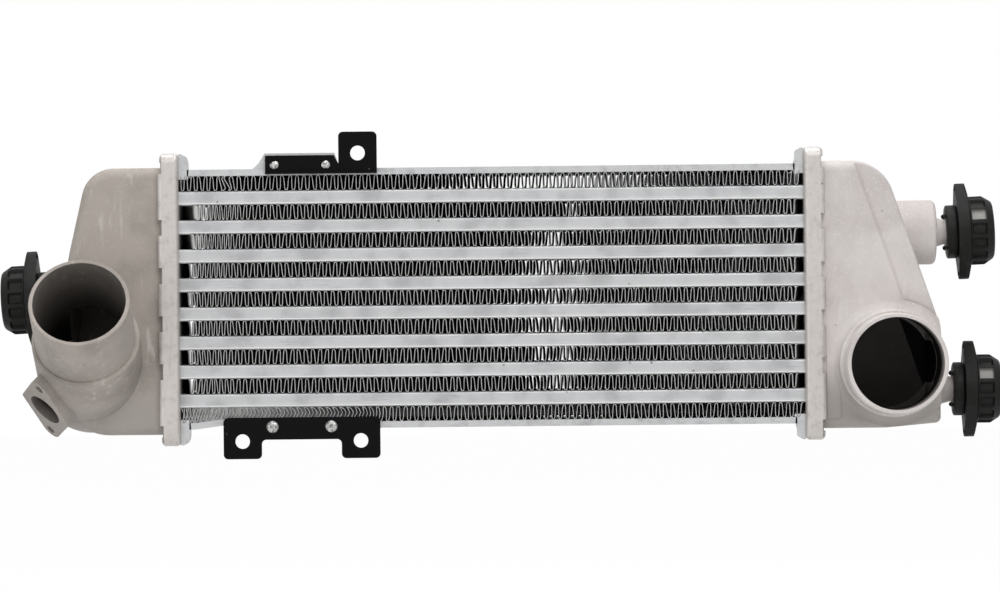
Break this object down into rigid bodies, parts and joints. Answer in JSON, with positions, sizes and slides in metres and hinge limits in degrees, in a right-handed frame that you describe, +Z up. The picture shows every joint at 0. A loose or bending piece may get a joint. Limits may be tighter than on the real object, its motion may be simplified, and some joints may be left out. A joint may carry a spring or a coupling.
{
  "type": "intercooler",
  "caption": "Air-to-air charge cooler: brazed tube and fin core between two cast end tanks with hose spigots, rubber-bushed mount pins and riveted sheet brackets.",
  "frame": {"origin": "centre of the core's front face, where the cooling air enters", "axes": "+X along the tubes to the right tank, +Y back through the fins, +Z up"},
  "size_m": [0.5046, 0.1263, 0.1632],
  "materials": {
    "left_casting": "sand-cast aluminium, warm grey, matte",
    "right_casting": "sand-cast aluminium, light warm grey, finely pitted",
    "header_sheet": "brazed aluminium sheet, satin with flux residue",
    "tube_aluminium": "brazed aluminium, satin, lightly scratched",
    "fin_aluminium": "thin folded aluminium, dull",
    "gasket_rubber": "matte black rubber",
    "bush_rubber": "matte black moulded rubber with light scuffs",
    "bracket_black": "satin black painted steel sheet",
    "rivet_metal": "bright aluminium blind rivet"
  },
  "bodies": {
    "root": {"left_tank": "left_casting", "right_tank": "right_casting", "left_header_plate": "header_sheet", "right_header_plate": "header_sheet", "left_tank_gasket": "gasket_rubber", "right_tank_gasket": "gasket_rubber", "charge_tube_1": "tube_aluminium", "charge_tube_2": "tube_aluminium", "charge_tube_3": "tube_aluminium", "charge_tube_4": "tube_aluminium", "charge_tube_5": "tube_aluminium", "charge_tube_6": "tube_aluminium", "charge_tube_7": "tube_aluminium", "charge_tube_8": "tube_aluminium", "turbulator_1": "fin_aluminium", "turbulator_2": "fin_aluminium", "turbulator_3": "fin_aluminium", "turbulator_4": "fin_aluminium", "turbulator_5": "fin_aluminium", "turbulator_6": "fin_aluminium", "turbulator_7": "fin_aluminium", "turbulator_8": "fin_aluminium", "air_fin_1": "fin_aluminium", "air_fin_2": "fin_aluminium", "air_fin_3": "fin_aluminium", "air_fin_4": "fin_aluminium", "air_fin_5": "fin_aluminium", "air_fin_6": "fin_aluminium", "air_fin_7": "fin_aluminium", "air_fin_8": "fin_aluminium", "air_fin_9": "fin_aluminium", "upper_side_plate": "tube_aluminium", "lower_side_plate": "tube_aluminium", "upper_bracket": "bracket_black", "lower_bracket": "bracket_black", "upper_bracket_rivets": "rivet_metal", "lower_bracket_rivets": "rivet_metal", "left_mount_bush": "bush_rubber", "upper_right_mount_bush": "bush_rubber", "lower_right_mount_bush": "bush_rubber"}
  },
  "joints": []
}
